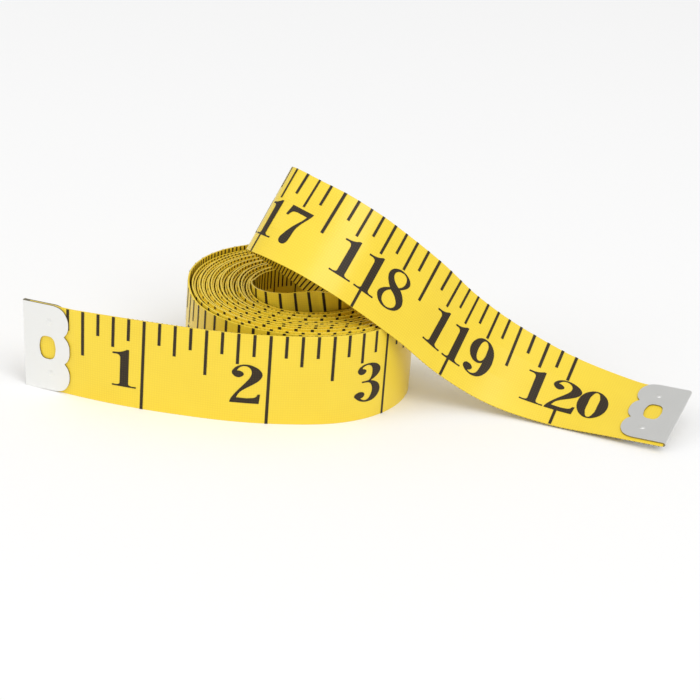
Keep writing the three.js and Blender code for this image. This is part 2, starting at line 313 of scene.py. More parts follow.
# The tip's plate in mm: half its scalloped outline, from the outer end to the middle of the inner edge
TIP_HALF_OUTLINE = (
    (-0.4, 0.2, 1), (0.05, 0.05), (0.25, 0, 1), (7.1, 0, 1), (8.75, 0.5), (9.9, 1.9), (10.3, 3.7),
    (10.0, 5.4), (9.25, 6.5, 1), (10.1, 7.6),
)
TIP_HOLE = (
    (1.72, 0.9), (1.15, 2.25), (0, 2.55), (-1.15, 2.25), (-1.72, 0.9),
    (-1.72, -0.9), (-1.15, -2.25), (0, -2.55), (1.15, -2.25), (1.72, -0.9),
)
TIP_CURVE_STEPS = 5
FOLD_STEPS = 24
# The folded plate is this much larger all round before its outline is cut
FOLD_MARGIN = 1.0 * MM
PIP_SIDES = 32
PIP_RINGS = 64
BEVEL_STEPS = 2
BEVEL_ANGLE = math.radians(40)
TIP_SHARP_EDGE = math.radians(12)
# A face turned further than this from the plate's own direction is a cut edge, and takes the painted shade
CUT_FACING = 0.8

# The camera, found from where the printed inches and the rims stand in the picture
CAMERA_TARGET = Vector((-2.71, 16.91, 0.0)) * MM
CAMERA_DISTANCE = 476.62 * MM
CAMERA_ELEVATION = math.radians(23.09)
CAMERA_ROLL = math.radians(4.51)
CAMERA_LENS = 113.14
CAMERA_SENSOR = 36.0
CAMERA_NEAR = 0.01

# The studio in metres and watts: the floor's reach, the lamps' places, powers and widths, and the surround
FLOOR_REACH = 3.0
LAMPS = {
    "key": ((0.9, -1.4, 1.7), 18.5, 1.4),
    "fill": ((-1.6, -0.8, 1.0), 7.0, 1.2),
    "top": ((0.0, -0.5, 2.2), 6.5, 1.8),
}
SURROUND_STRENGTH = 0.6

# The path's vectors at each point, and the kinds of node that the trees use most
RULING_FIELDS = ("rise", "low_face", "top_face")
TIMES = {"kind": "ShaderNodeMath", "operation": "MULTIPLY"}
TIMES_PLUS = {"kind": "ShaderNodeMath", "operation": "MULTIPLY_ADD"}
VECTOR_TIMES_PLUS = {"kind": "ShaderNodeVectorMath", "operation": "MULTIPLY_ADD"}
SWITCH = {"kind": "GeometryNodeSwitch", "input_type": "FLOAT"}
MIX_COLOURS = {"kind": "ShaderNodeMix", "data_type": "RGBA"}
FLOAT_FIELD = {"kind": "GeometryNodeInputNamedAttribute", "data_type": "FLOAT"}
VECTOR_FIELD = {"kind": "GeometryNodeInputNamedAttribute", "data_type": "FLOAT_VECTOR"}
KEEP_VECTOR = {"kind": "GeometryNodeStoreNamedAttribute", "data_type": "FLOAT_VECTOR", "domain": "POINT"}
KEEP_MAP = {"kind": "GeometryNodeStoreNamedAttribute", "data_type": "FLOAT2", "domain": "CORNER"}


def colour(code):
    """Turn an sRGB hex code into linear red, green, blue and alpha."""
    parts = [int(code[i : i + 2], 16) / 255 for i in (0, 2, 4)]
    return tuple(p / 12.92 if p <= 0.04045 else ((p + 0.055) / 1.055) ** 2.4 for p in parts) + (1.0,)


def size(label, told, default):
    """A length that the user can change."""
    return bpy.props.FloatProperty(
        name=label, description=told, default=default, min=0.0, precision=5, subtype="DISTANCE", unit="LENGTH"
    )


def paint(label, told, code):
    """A colour that the user can change."""
    return bpy.props.FloatVectorProperty(
        name=label, description=told, default=colour(code), size=4, min=0.0, max=1.0, subtype="COLOR"
    )


class TapeSizes(bpy.types.PropertyGroup):
    """Sizes of the tape and of its coil."""

    width: size("Width", "Width of the tape", 19.05 * MM)
    thickness: size("Thickness", "Thickness of the coated cloth", 0.35 * MM)
    edge_round: size("Edge round", "Radius on the tape's long edges", 0.05 * MM)
    length: size("Length", "From the first inch's beginning to the other end", 3071.92 * MM)
    start_length: size("Start length", "From the first inch's beginning to the coil", 61 * MM)
    coil_radius: size("Coil radius", "Radius of the outermost turn", 23.5 * MM)
    eye_radius: size("Eye radius", "Radius where the innermost turn ends", 11.26375 * MM)
    turns: bpy.props.FloatProperty(name="Turns", description="Turns in the coil", default=25.6875, min=1.0)
    first_gap: size("First gap", "Extra room inside the outermost turn", 0.3 * MM)
    pairing: size("Pairing", "How far a turn moves towards its pair", 0.055 * MM)
    unevenness: size("Unevenness", "How far the higher pairs of turns stand up", 0.75 * MM)
    back_rise: size("Back rise", "How far the turns stand up at the back", 1.0 * MM)
    outer_rise: size("Outer rise", "How much further the outermost turn stands up there", 1.2 * MM)
    inner_loose: size("Inner loose", "How far the innermost turns come away to the left", 0.8 * MM)
    right_give: size("Right give", "How far the climbing end pushes the inner turns outwards", 1.4 * MM)
    left_swell: size("Left swell", "How far the outermost turn swells to the left", 0.6 * MM)


class ScaleSizes(bpy.types.PropertyGroup):
    """Sizes of the printed inches and centimetres."""

    line_width: size("Line width", "Width of an inch scale line", 0.62 * MM)
    eighth: size("Eighth", "Length of an eighth line", 4.7 * MM)
    quarter: size("Quarter", "Length of a quarter line", 6.5 * MM)
    half: size("Half", "Length of a half line", 9.6 * MM)
    head: size("Head", "Length of an inch line above a three-figure number", 6.7 * MM)
    foot: size("Foot", "Length of an inch line below a three-figure number", 3.9 * MM)
    figure_height: size("Figure height", "Height of the inch numbers", 8.2 * MM)
    figure_base: size("Figure base", "Height of the numbers' foot above the lower edge", 4.25 * MM)
    figure_drop: size("Figure drop", "How much lower the numbers past the second inch stand", 0.4 * MM)
    figure_pitch: size("Figure pitch", "From one figure's middle to the next", 6.0 * MM)
    figure_gap: size("Figure gap", "From a single figure to its inch line", 1.25 * MM)
    figure_shift: size("Figure shift", "How far a middle figure stands past its line", 0.6 * MM)
    fine_width: size("Fine width", "Width of a millimetre line", 0.32 * MM)
    millimetre: size("Millimetre", "Length of a millimetre line", 4.1 * MM)
    half_centimetre: size("Half centimetre", "Length of a five-millimetre line", 5.2 * MM)
    centimetre: size("Centimetre", "Length of a centimetre line", 6.2 * MM)
    small_height: size("Small height", "Height of the centimetre numbers", 5.2 * MM)
    small_narrow: bpy.props.FloatProperty(
        name="Small narrow", description="Width of the centimetre figures against the inch ones",
        default=0.7, min=0.1,
    )
    lift: size("Ink lift", "How far the ink stands off the cloth", 0.055 * MM)


class TipSizes(bpy.types.PropertyGroup):
    """Sizes of the folded metal tips."""

    thickness: size("Thickness", "Over both plates", 1.0 * MM)
    plate: size("Plate", "Thickness of the folded plate", 0.3 * MM)
    reach: size("Reach", "Length over the middle scallop", 10.45 * MM)
    back_inset: size("Back inset", "How much narrower the back plate is at each edge", 0.05 * MM)
    overhang: size("Overhang", "How far a tip stands past the tape's measured end", 0.25 * MM)
    end_narrow: size("End narrow", "How much narrower the end tip is than the tape", 0.5 * MM)
    hole_place: size("Hole place", "From the outer end to the hole's middle", 5.5 * MM)
    pip_place: size("Pip place", "From the outer end to the raised pips", 6.0 * MM)
    pip_inset: size("Pip inset", "From the edge to a pip's middle", 3.8 * MM)
    pip_radius: size("Pip radius", "Radius of a pip at the surface", 0.75 * MM)
    pip_height: size("Pip height", "How far a pip stands up", 0.15 * MM)
    bevel: size("Bevel", "Round on the plate's edges", 0.06 * MM)


class TapeColours(bpy.types.PropertyGroup):
    """Colours of the pieces and of the floor."""

    cloth: paint("Cloth", "The coated cloth's yellow", "F7D936")
    cloth_deep: paint("Cloth, deeper", "The cloth's yellow where the coat is thicker", "EDCA28")
    ink: paint("Ink", "The printed lines and numbers", "281E10")
    ink_thin: paint("Ink, thin", "The ink where it lies thin on a thread", "42351A")
    steel: paint("Steel", "The plated tips", "F1F1EE")
    # Painted shade: the tips' cut edges are darkened to stand in for the contact shade along them
    cut_steel: paint("Cut steel", "Painted shade on the tips' cut edges", "A0987A")
    floor: paint("Floor", "The pale floor", "FDFDFD")


def add(tree, kind, links=None, **settings):
    """Add one node, set it up, link or set its inputs, and hand back its outputs."""
    node = tree.nodes.new(kind)
    for key, value in settings.items():
        setattr(node, key, value)
    for key, value in (links or {}).items():
        for part in value if isinstance(value, list) else [value]:
            if isinstance(part, bpy.types.NodeSocket):
                tree.links.new(part, node.inputs[key])
            else:
                node.inputs[key].default_value = part
    return node.outputs


def new_tree(name, inputs):
    """Start a geometry tree with its named inputs, and hand back the tree and the inputs' sockets."""
    tree = bpy.data.node_groups.new(name, "GeometryNodeTree")
    for label, kind in inputs:
        tree.interface.new_socket(label, in_out="INPUT", socket_type="NodeSocket" + kind)
    tree.interface.new_socket("Geometry", in_out="OUTPUT", socket_type="NodeSocketGeometry")
    return tree, add(tree, "NodeGroupInput")


def finish_tree(tree, geometry, material):
    """End a tree with plain geometry in its material."""
    plain = add(tree, "GeometryNodeRealizeInstances", {"Geometry": geometry})[0]
    done = add(tree, "GeometryNodeSetMaterial", {"Geometry": plain, "Material": material})[0]
    add(tree, "NodeGroupOutput", {0: done})
    return tree


def ruled_spot(tree, share, depth, fields, edge):
    """A place on the tape: a share of the way up its ruling, and a depth off it towards the numbered face."""
    faces = {0: share, 4: fields["low_face"], 5: fields["top_face"]}
    face = add(tree, "ShaderNodeMix", faces, data_type="VECTOR")[1]
    face = add(tree, "ShaderNodeVectorMath", {0: face}, operation="NORMALIZE")[0]
    spot = add(tree, links={0: fields["rise"], 1: share, 2: edge}, **VECTOR_TIMES_PLUS)[0]
    return add(tree, links={0: face, 1: depth, 2: spot}, **VECTOR_TIMES_PLUS)[0]


def strip_tree():
    """The tree that gives a stretch of the path the tape's section."""
    tree, given = new_tree(
        "Tape strip",
        [
            ("Geometry", "Geometry"), ("From", "Float"), ("To", "Float"), ("Width", "Float"),
            ("Thickness", "Float"), ("Edge Round", "Float"), ("Material", "Material"),
        ],
    )
    here = add(tree, "GeometryNodeInputPosition")[0]
    path = add(tree, "GeometryNodeMeshToCurve", {"Mesh": given["Geometry"]})[0]
    ends = {0: path, 4: given["From"], 5: given["To"]}
    stretch = add(tree, "GeometryNodeTrimCurve", ends, mode="LENGTH")[0]
    kept = add(tree, links={"Geometry": stretch, "Name": "edge", "Value": here}, **KEEP_VECTOR)[0]
    sides = {0: given["Thickness"], 1: given["Width"]}
    oblong = add(tree, "GeometryNodeCurvePrimitiveQuadrilateral", sides)[0]
    split = add(tree, "GeometryNodeSubdivideCurve", {"Curve": oblong, "Cuts": SECTION_CUTS})[0]
    corners = {"Curve": split, "Count": 1, "Radius": given["Edge Round"]}
    rounded = add(tree, "GeometryNodeFilletCurve", corners, mode="POLY")[0]
    section = add(tree, links={"Geometry": rounded, "Name": "section", "Value": here}, **KEEP_VECTOR)[0]
    swept = {"Curve": kept, "Profile Curve": section, "Fill Caps": True}
    tube = add(tree, "GeometryNodeCurveToMesh", swept)[0]
    fields = {}
    for name in ("edge", "section") + RULING_FIELDS:
        fields[name] = add(tree, links={"Name": name}, **VECTOR_FIELD)[0]
    along = add(tree, links={"Name": "along"}, **FLOAT_FIELD)[0]
    place = add(tree, "ShaderNodeSeparateXYZ", {0: fields["section"]})
    share = add(tree, "ShaderNodeMath", {0: place["Y"], 1: given["Width"]}, operation="DIVIDE")[0]
    share = add(tree, "ShaderNodeMath", {0: share, 1: 0.5}, operation="ADD")[0]
    spot = ruled_spot(tree, share, place["X"], fields, fields["edge"])
    strip = add(tree, "GeometryNodeSetPosition", {"Geometry": tube, "Position": spot})[0]
    across = add(tree, links={0: share, 1: given["Width"]}, **TIMES)[0]
    flat = add(tree, "ShaderNodeCombineXYZ", {"X": along, "Y": across})[0]
    mapped = add(tree, links={"Geometry": strip, "Name": "UVMap", "Value": flat}, **KEEP_MAP)[0]
    smooth = add(tree, "GeometryNodeSetShadeSmooth", {"Geometry": mapped, "Shade Smooth": True})[0]
    angle = add(tree, "GeometryNodeInputMeshEdgeAngle")[0]
    corner = add(tree, "FunctionNodeCompare", {0: angle, 1: SHARP_EDGE}, operation="GREATER_THAN")[0]
    edges = {"Geometry": smooth, "Selection": corner, "Shade Smooth": False}
    sharp = add(tree, "GeometryNodeSetShadeSmooth", edges, domain="EDGE")[0]
    return finish_tree(tree, sharp, given["Material"])


def lay_tree():
    """The group that wraps flat print, drawn as distance along and height, onto a face of the tape."""
    tree, given = new_tree(
        "Lay on tape",
        [
            ("Geometry", "Geometry"), ("Path", "Geometry"), ("Width", "Float"), ("Thickness", "Float"),
            ("Lift", "Float"), ("Length", "Float"), ("Reverse", "Bool"),
        ],
    )
    position = add(tree, "GeometryNodeInputPosition")[0]
    drawn = add(tree, "ShaderNodeSeparateXYZ", {0: position})
    # The reverse face is read the other way, from the tape's far end
    run = add(tree, links={0: given["Reverse"], 1: -2.0, 2: 1.0}, **TIMES_PLUS)[0]
    origin = add(tree, links={0: given["Reverse"], 1: given["Length"]}, **TIMES)[0]
    along = add(tree, links={0: run, 1: drawn["X"], 2: origin}, **TIMES_PLUS)[0]
    heights = {0: drawn["Y"], 1: given["Width"]}
    share = add(tree, "ShaderNodeMath", heights, operation="DIVIDE", use_clamp=True)[0]
    # Where the tape leans along its run, a line square to the edge crosses several rulings
    lean = add(tree, links={"Name": "shear"}, **FLOAT_FIELD)[0]
    ruling = along
    for _ in range(SHEAR_ROUNDS):
        asked = {"Curves": given["Path"], "Value": lean, "Length": ruling}
        shear = add(tree, "GeometryNodeSampleCurve", asked, data_type="FLOAT", mode="LENGTH")[0]
        back = add(tree, links={0: share, 1: shear}, **TIMES)[0]
        ruling = add(tree, "ShaderNodeMath", {0: along, 1: back}, operation="SUBTRACT")[0]
    fields = {}
    for name in RULING_FIELDS:
        field = add(tree, links={"Name": name}, **VECTOR_FIELD)[0]
        asked = {"Curves": given["Path"], "Value": field, "Length": ruling}
        sampled = add(tree, "GeometryNodeSampleCurve", asked, data_type="FLOAT_VECTOR", mode="LENGTH")
        fields[name] = sampled[0]
    # Each sample also gives the place on the lower edge
    edge = sampled[1]
    depth = add(tree, links={0: given["Thickness"], 1: 0.5, 2: given["Lift"]}, **TIMES_PLUS)[0]
    depth = add(tree, links={0: depth, 1: run}, **TIMES)[0]
    spot = ruled_spot(tree, share, depth, fields, edge)
    named = {"Geometry": given["Geometry"], "Name": "UVMap", "Value": position}
    mapped = add(tree, links=named, **KEEP_MAP)[0]
    laid = add(tree, "GeometryNodeSetPosition", {"Geometry": mapped, "Position": spot})[0]
    add(tree, "NodeGroupOutput", {0: laid})
    return tree


def lines_tree():
    """The group that draws a scale's lines flat, each as long as its place in the count asks."""
    inputs = [(name, "Float") for name in LINE_SIZES + ("Width",)]
    inputs += [(name, "Int") for name in LINE_COUNTS]
    tree, given = new_tree("Scale lines", inputs + [("Both Edges", "Bool")])
    index = add(tree, "GeometryNodeInputIndex")[0]
    number = add(tree, "FunctionNodeIntegerMath", {0: index, 1: given["First"]}, operation="ADD")[0]
    counts = {2: number, 3: given["Broken From"]}
    broken = add(tree, "FunctionNodeCompare", counts, data_type="INT", operation="GREATER_EQUAL")[0]
    on_mark = {}
    for rank in ("Long", "Middle", "Short"):
        every = {0: number, 1: given[rank + " Every"]}
        rest = add(tree, "FunctionNodeIntegerMath", every, operation="MODULO")[0]
        none = {2: rest, 3: 0}
        on_mark[rank] = add(tree, "FunctionNodeCompare", none, data_type="INT", operation="EQUAL")[0]
    short = add(tree, links={0: on_mark["Short"], 1: given["Least"], 2: given["Short"]}, **SWITCH)[0]
    middle = add(tree, links={0: on_mark["Middle"], 1: short, 2: given["Middle"]}, **SWITCH)[0]
    longest = add(tree, links={0: broken, 1: given["Width"], 2: given["Long"]}, **SWITCH)[0]
    head = add(tree, links={0: on_mark["Long"], 1: middle, 2: longest}, **SWITCH)[0]
    low = add(tree, links={0: middle, 1: given["Both Edges"]}, **TIMES)[0]
    stub = add(tree, links={0: given["Foot"], 1: broken}, **TIMES)[0]
    foot = add(tree, links={0: on_mark["Long"], 1: low, 2: stub}, **SWITCH)[0]
    first = add(tree, links={0: given["First"], 1: given["Spacing"]}, **TIMES)[0]
    step = add(tree, "ShaderNodeCombineXYZ", {"X": given["Spacing"]})[0]
    upper = add(tree, "ShaderNodeCombineXYZ", {"X": first, "Y": given["Width"]})[0]
    lower = add(tree, "ShaderNodeCombineXYZ", {"X": first})[0]
    grid = {"Size X": given["Line Width"], "Size Y": 1.0, "Vertices X": 2, "Vertices Y": LINE_POINTS}
    parts = []
    for start, shift, length in ((upper, -0.5, head), (lower, 0.5, foot)):
        row = {"Count": given["Count"], "Start Location": start, "Offset": step}
        points = add(tree, "GeometryNodeMeshLine", row, mode="OFFSET")[0]
        mark = add(tree, "GeometryNodeMeshGrid", grid)[0]
        moved = add(tree, "GeometryNodeTransform", {"Geometry": mark, "Translation": (0, shift, 0)})[0]
        drawn = add(tree, "FunctionNodeCompare", {0: length, 1: 0.0}, operation="GREATER_THAN")[0]
        scale = add(tree, "ShaderNodeCombineXYZ", {"X": 1.0, "Y": length, "Z": 1.0})[0]
        placed = {"Points": points, "Instance": moved, "Selection": drawn, "Scale": scale}
        parts.append(add(tree, "GeometryNodeInstanceOnPoints", placed)[0])
    joined = add(tree, "GeometryNodeJoinGeometry", {0: parts})[0]
    plain = add(tree, "GeometryNodeRealizeInstances", {"Geometry": joined})[0]
    add(tree, "NodeGroupOutput", {0: plain})
    return tree


def scale_tree():
    """The tree that prints a stretch of both faces: lines and numbers, laid on the tape's path."""
    wrapping = ("Width", "Thickness", "Lift", "Length")
    inputs = [("Geometry", "Geometry"), ("Material", "Material")] + [(name, "Float") for name in wrapping]
    for side in ("Inch", "Metric"):
        inputs += [(f"{side} {name}", "Float") for name in LINE_SIZES + ("Figure Height", "Figure Width")]
        inputs += [(f"{side} {name}", "Int") for name in LINE_COUNTS]
        inputs += [(side + " Both Edges", "Bool"), (side + " Numbers", "Object")]
        inputs.append((side + " Figures", "Collection"))
    tree, given = new_tree("Printed scales", inputs)
    lay, lines = lay_tree(), lines_tree()
    path = add(tree, "GeometryNodeMeshToCurve", {"Mesh": given["Geometry"]})[0]
    digit = add(tree, "GeometryNodeInputNamedAttribute", {"Name": "digit"}, data_type="INT")[0]
    printed = []
    for side, reverse in (("Inch", False), ("Metric", True)):
        drawn = {name: given[f"{side} {name}"] for name in LINE_SIZES + LINE_COUNTS + ("Both Edges",)}
        drawn["Width"] = given["Width"]
        marks = add(tree, "GeometryNodeGroup", drawn, node_tree=lines)[0]
        places = add(tree, "GeometryNodeObjectInfo", {"Object": given[side + " Numbers"]})["Geometry"]
        figures = {"Collection": given[side + " Figures"], "Separate Children": True, "Reset Children": True}
        figures = add(tree, "GeometryNodeCollectionInfo", figures)[0]
        tall = given[side + " Figure Height"]
        scale = {"X": given[side + " Figure Width"], "Y": tall, "Z": tall}
        chosen = {
            "Points": places, "Instance": figures, "Pick Instance": True, "Instance Index": digit,
            "Scale": add(tree, "ShaderNodeCombineXYZ", scale)[0],
        }
        numbers = add(tree, "GeometryNodeInstanceOnPoints", chosen)[0]
        numbers = add(tree, "GeometryNodeRealizeInstances", {"Geometry": numbers})[0]
        flat = add(tree, "GeometryNodeJoinGeometry", {0: [marks, numbers]})[0]
        wrapped = {name: given[name] for name in wrapping}
        wrapped.update({"Geometry": flat, "Path": path, "Reverse": reverse})
        printed.append(add(tree, "GeometryNodeGroup", wrapped, node_tree=lay)[0])
    joined = add(tree, "GeometryNodeJoinGeometry", {0: printed})[0]
    return finish_tree(tree, joined, given["Material"])


def put(name, data):
    """Add a mesh, a curve, a light or a camera to the scene as an object at the origin."""
    made = bpy.data.objects.new(name, data)
    bpy.context.scene.collection.objects.link(made)
    return made


def evaluated_mesh(source):
    """A plain mesh of an object as its modifiers leave it."""
    graph = bpy.context.evaluated_depsgraph_get()
    graph.update()
    finished = source.evaluated_get(graph)
    return bpy.data.meshes.new_from_object(finished, preserve_all_data_layers=True, depsgraph=graph)


def grow(name, tree, path, values):
    """Run a tree on the tape's path with these inputs, and keep the outcome as a plain object."""
    worker = put(name + "_work", path.data)
    modifier = worker.modifiers.new("Grow", "NODES")
    modifier.node_group = tree
    for item in tree.interface.items_tree:
        if item.in_out == "INPUT" and item.name in values:
            modifier[item.identifier] = values[item.name]
    mesh = evaluated_mesh(worker)
    mesh.name = name
    bpy.data.objects.remove(worker)
    if not mesh.polygons:
        raise RuntimeError(name + ": the tree made no faces")
    return put(name, mesh)


def ease(low, high, value):
    """Rise smoothly from 0 to 1 between two values."""
    t = np.clip((value - low) / (high - low), 0.0, 1.0)
    return t * t * (3 - 2 * t)


def level(angle):
    """The direction on the table at an angle from +X."""
    return np.array([math.cos(angle), math.sin(angle), 0.0])


def start_shares(tape, distance):
    """Shares of the start's backward shift, which grows on in the tip, and of its lean, which doesn't."""
    place = tape.start_length - distance
    held = np.maximum(place, TIP_HOLD)
    left = np.maximum(0.0, 1 - held / START_LEAN_REACH)
    most = 1 - TIP_HOLD / START_LEAN_REACH
    shift = left**2 + 2 * left * (held - place) / START_LEAN_REACH
    return shift, (left / most) ** 2


def start_edge(tape):
    """The lower edge from the start tip's outer end to the coil, walked back from the coil."""
    points = []
    for distance in np.arange(tape.start_length, FREE_STEP / 2, -FREE_STEP):
        edge = START_BACK * start_shares(tape, distance)[0] + tape.coil_radius * level(LEAVE_ANGLE)
        heading = LEAVE_ANGLE + math.pi / 2
        left = distance
        for length, radius in START_BENDS:
            walked = min(left, length * MM)
            turn = walked / (radius * MM)
            chord = 2 * radius * MM * math.sin(turn / 2)
            edge = edge - chord * level(heading - turn / 2)
            heading -= turn
            left -= walked
        points.append(edge - left * level(heading))
    return np.array(points)


def coil_edge(tape, loops, bow):
    """The lower edge of the wound tape at these counts of loops from its outer end."""
    share = loops / tape.turns
    angle = LEAVE_ANGLE + loops * 2 * math.pi
    leftward = np.maximum(-np.cos(angle), 0.0) ** 2
    radius = tape.coil_radius - tape.first_gap * ease(*FIRST_GAP_OPENS, loops)
    radius = radius - (tape.coil_radius - tape.first_gap - tape.eye_radius) * share
    radius = radius + bow * 4 * share * (1 - share)
    swell = leftward * np.exp(-np.maximum(loops - SWELL_UNTIL, 0.0) / SWELL_FADE)
    calm = ease(*PAIRS_BEGIN, loops) * ease(*PAIRS_END, tape.turns - loops)
    pair = np.tanh(CHANGE_SHARPNESS * np.sin(math.pi * (loops - CHANGE_LOOPS)))
    radius = radius + tape.left_swell * swell + tape.pairing * calm * pair
    radius = radius - tape.inner_loose * leftward * share**LOOSE_POWER
    # The climbing end pushes the turns outwards on the right
    give = np.maximum(np.cos(angle - GIVE_ANGLE), 0.0) ** GIVE_POWER
    radius = radius + tape.right_give * give * share
    stand = np.tanh(CHANGE_SHARPNESS * np.sin(math.pi / 2 * (loops - CHANGE_LOOPS)))
    mean, by_turn, rate, round_it = UNEVEN_HEIGHTS
    uneven = mean + by_turn * np.sin(rate * loops) + round_it * np.sin(2 * angle + loops)
    height = tape.unevenness * calm * (stand + 1) / 2 * uneven
    outer = ease(*OUTER_RISE_GROWS, loops) * ease(*OUTER_RISE_ENDS, OUTER_RISE_LOOPS - loops)
    height = height + tape.outer_rise * outer
    behind = ease(*BACK_RISE_GROWS, np.sin(angle - BACK_ANGLE))
    # The innermost turn keeps its height from the back on, ready to climb
    behind = behind + (1 - behind) * ease(*HEIGHT_HELD, loops - tape.turns)
    height = height + tape.back_rise * behind
    return np.stack([radius * np.cos(angle), radius * np.sin(angle), height], axis=1)


def distances(points):
    """How far along a run each of its points lies."""
    return np.concatenate([[0.0], np.cumsum(np.linalg.norm(np.diff(points, axis=0), axis=1))])


def directions(vectors):
    """Vectors brought to length 1."""
    return vectors / np.linalg.norm(vectors, axis=1, keepdims=True)


def smooth_run(points, count):
    """Points along a smooth curve through given ones, from the second to the last."""
    points = np.array(points, float)
    before = np.vstack([2 * points[0] - points[1], points, 2 * points[-1] - points[-2]])
    slopes = (before[2:] - before[:-2]) / 2
    where = np.linspace(1, len(points) - 1, count)
    knot = np.minimum(where.astype(int), len(points) - 2)
    t = (where - knot)[:, None]
    return (
        (2 * t**3 - 3 * t**2 + 1) * points[knot]
        + (t**3 - 2 * t**2 + t) * slopes[knot]
        + (3 * t**2 - 2 * t**3) * points[knot + 1]
        + (t**3 - t**2) * slopes[knot + 1]
    )


def end_edge(tape, lead_in):
    """The lower edge and lean from the coil's inner end to the end tip's outer end."""
    edges = list(lead_in)
    leans = [UP, UP]
    for route, reach in ((END_CLIMB, tape.eye_radius), (END_FALL, tape.coil_radius)):
        for place, lean in route:
            edges.append(np.array(place) * (reach, reach, tape.width))
            leans.append(np.array(lean, float))
    curve = smooth_run(edges, CURVE_STEPS)
    lean = smooth_run(leans, CURVE_STEPS)
    straight = curve[-1] - curve[-2]
    curve = np.vstack([curve, curve[-1] + straight / np.linalg.norm(straight) * END_STRAIGHT])
    lean = np.vstack([lean, lean[-1]])
    walked = distances(curve)
    wanted = np.linspace(0, walked[-1], int(walked[-1] / FREE_STEP) + 1)
    edge = np.stack([np.interp(wanted, walked, part) for part in curve.T], axis=1)
    lean = np.stack([np.interp(wanted, walked, part) for part in lean.T], axis=1)
    along = directions(np.gradient(edge, axis=0))
    square = 1 - ease(*SQUARE_UNTIL, wanted)
    return edge, lean - along * (square * np.sum(lean * along, axis=1))[:, None]


def tape_path(tape):
    """The whole tape's lower edge as a mesh line, with the ruling and faces at each point."""
    start = start_edge(tape)
    turning = tape.turns * 2 * math.pi
    count = int(turning * (tape.coil_radius + tape.eye_radius) / 2 / COIL_STEP)
    loops = np.linspace(0, tape.turns, count)
    lead_loops = np.array([tape.turns - LEAD_IN_LOOPS, tape.turns])
    bow = 0.0
    # The turns bow outwards as far as the tape's length asks
    for _ in range(BOW_ROUNDS):
        coil = coil_edge(tape, loops, bow)
        end, lean = end_edge(tape, coil_edge(tape, lead_loops, bow))
        edge = np.vstack([start, coil, end[1:]])
        bow += (tape.length - distances(edge)[-1]) / (turning * 2 / 3)
    tilt = start_shares(tape, np.arange(len(start), 0, -1) * FREE_STEP)[1]
    leans = np.vstack([UP + tilt[:, None] * START_LEAN, np.tile(UP, (len(coil), 1)), lean[1:]])
    along = distances(edge)
    tangent = directions(np.gradient(edge, along, axis=0))
    square = leans - tangent * np.sum(leans * tangent, axis=1, keepdims=True)
    rise = leans * tape.width / np.linalg.norm(square, axis=1, keepdims=True)
    low_face = directions(np.cross(np.gradient(edge, along, axis=0), rise))
    top_face = directions(np.cross(np.gradient(edge + rise, along, axis=0), rise))
    mesh = bpy.data.meshes.new("tape_path")
    mesh.from_pydata((edge + COIL_AXIS).tolist(), [(i, i + 1) for i in range(len(edge) - 1)], [])
    for name, values in zip(RULING_FIELDS, (rise, low_face, top_face)):
        mesh.attributes.new(name, "FLOAT_VECTOR", "POINT").data.foreach_set("vector", values.ravel())
    for name, values in (("along", along), ("shear", np.sum(rise * tangent, axis=1))):
        mesh.attributes.new(name, "FLOAT", "POINT").data.foreach_set("value", values)
    return put("tape_path", mesh)


def station(path, distance):
    """Lower edge, ruling and numbered face's direction at a distance along the path."""
    mesh = path.data
    along = np.zeros(len(mesh.vertices))
    mesh.attributes["along"].data.foreach_get("value", along)
    index = int(np.argmin(np.abs(along - distance)))
    edge = mesh.vertices[index].co.copy()
    rise = Vector(mesh.attributes["rise"].data[index].vector)
    face = Vector(mesh.attributes["low_face"].data[index].vector)
    return edge, rise, face


def stretches(tape):
    """The tape's pieces in turn: name, from, to, bodies, where each bends and the nodes it stands for."""
    low = START_SINK
    for name, last, bodies, bend, nodes in PIECES:
        high = last * MM if last else tape.length - END_SINK
        yield name, low, high, bodies, bend, nodes
        low = high


def attach(piece, path, bodies, bend):
    """Let a piece ride its body; a piece over a bend is baked where it lies and rides no body."""
    if bend is None:
        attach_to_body(piece, bodies[0])
        return
    for distance in bend:
        edge, rise, _ = station(path, distance * MM)
    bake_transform(piece)


def new_material(name, values):
    """A material with its shader's even values set, and its tree and shader to build on."""
    material = bpy.data.materials.new(name)
    material.use_nodes = True
    shader = material.node_tree.nodes["Principled BSDF"]
    for socket, value in values.items():
        shader.inputs[socket].default_value = value
    return material, material.node_tree, shader


def weave_height(tree, flat):
    """The weave's height on the tape's own map, from 0 between threads to 1 on top of them."""
    waves = {"Vector": flat, "Scale": WAVE_REPEAT / THREAD_PERIOD}
    warp = add(tree, "ShaderNodeTexWave", waves, bands_direction="X")["Fac"]
    weft = add(tree, "ShaderNodeTexWave", waves, bands_direction="Y")["Fac"]
    return add(tree, links={0: warp, 1: weft}, **TIMES)[0]


def cloth_material(colours):
    """Coated woven cloth: a satin yellow coat over a fine weave, a little uneven in tone."""
    material, tree, shader = new_material(
        "Coated woven cloth",
        {"Roughness": 0.42, "Specular IOR Level": 0.5, "Coat Weight": 0.25, "Coat Roughness": 0.3},
    )
    flat = add(tree, "ShaderNodeUVMap", uv_map="UVMap")[0]
    tone = add(tree, "ShaderNodeTexNoise", {"Vector": flat, "Scale": 1 / TONE_PATCH, "Detail": 3.0})[0]
    weave = weave_height(tree, flat)
    thin = add(tree, "ShaderNodeMath", {0: tone, 1: weave}, operation="SUBTRACT", use_clamp=True)[0]
    mixed = add(tree, links={0: thin, 6: colours.cloth, 7: colours.cloth_deep}, **MIX_COLOURS)[2]
    tree.links.new(mixed, shader.inputs["Base Color"])
    bump = add(tree, "ShaderNodeBump", {"Height": weave, "Strength": 0.5, "Distance": BUMP_DEPTH})[0]
    tree.links.new(bump, shader.inputs["Normal"])
    return material


